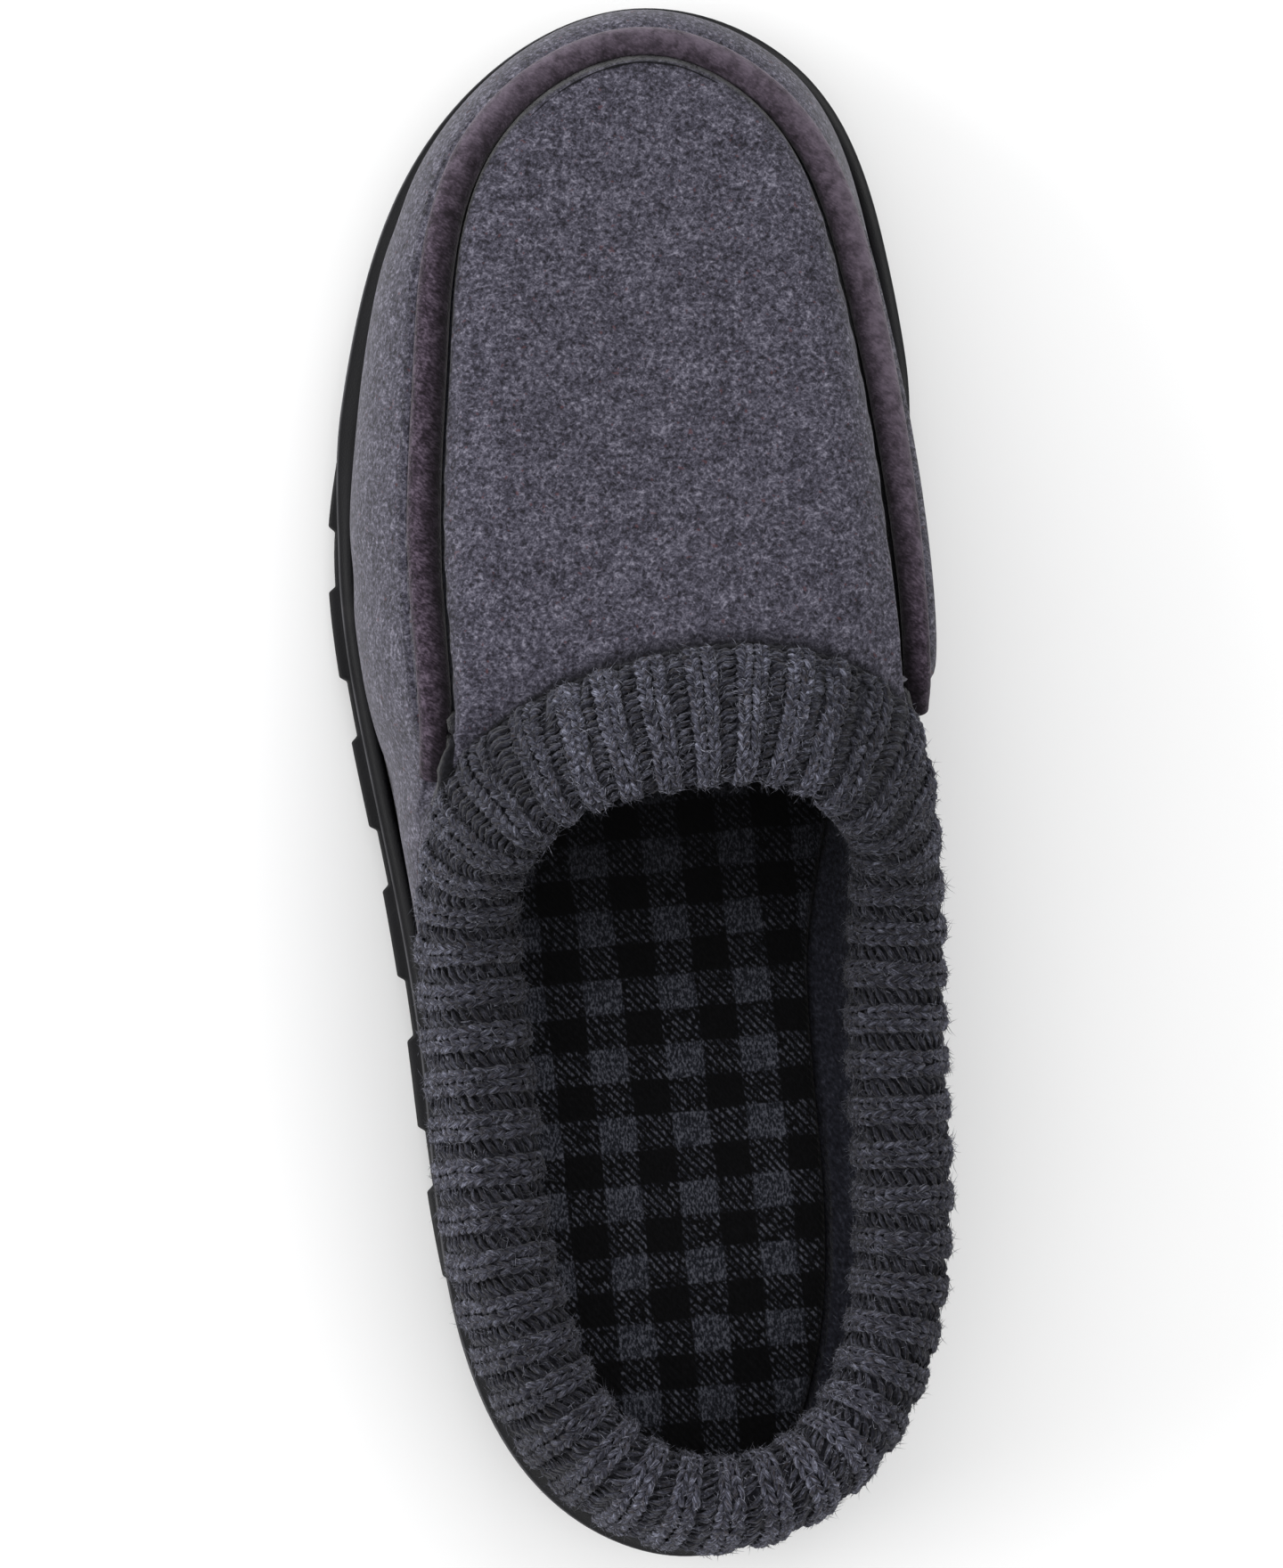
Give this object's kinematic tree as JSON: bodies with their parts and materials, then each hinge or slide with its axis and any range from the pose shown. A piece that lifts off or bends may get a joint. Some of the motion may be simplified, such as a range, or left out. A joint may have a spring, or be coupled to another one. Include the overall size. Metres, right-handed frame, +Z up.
{
  "type": "house slipper",
  "caption": "Left slip-on house slipper with felt upper, raised moccasin seam, rib-knit padded collar, check insole and lugged rubber sole.",
  "frame": {"origin": "on the floor, under the middle of the slipper's bounding box", "axes": "+Y from heel to toe, +X to the inner side of the foot, +Z up"},
  "size_m": [0.1144, 0.294, 0.0898],
  "materials": {
    "black_rubber": "matt moulded rubber",
    "grey_felt": "heathered wool felt, short nap",
    "plum_suede": "brushed suede",
    "charcoal_knit": "rib knit of marled yarn",
    "check_cloth": "brushed two-colour twill check",
    "dark_flannel": "brushed lining cloth",
    "dark_thread": "sewing thread"
  },
  "bodies": {
    "root": {"outsole": "black_rubber", "upper": "grey_felt", "seam_piping": "plum_suede", "knit_collar": "charcoal_knit", "insole": "check_cloth"}
  },
  "joints": []
}
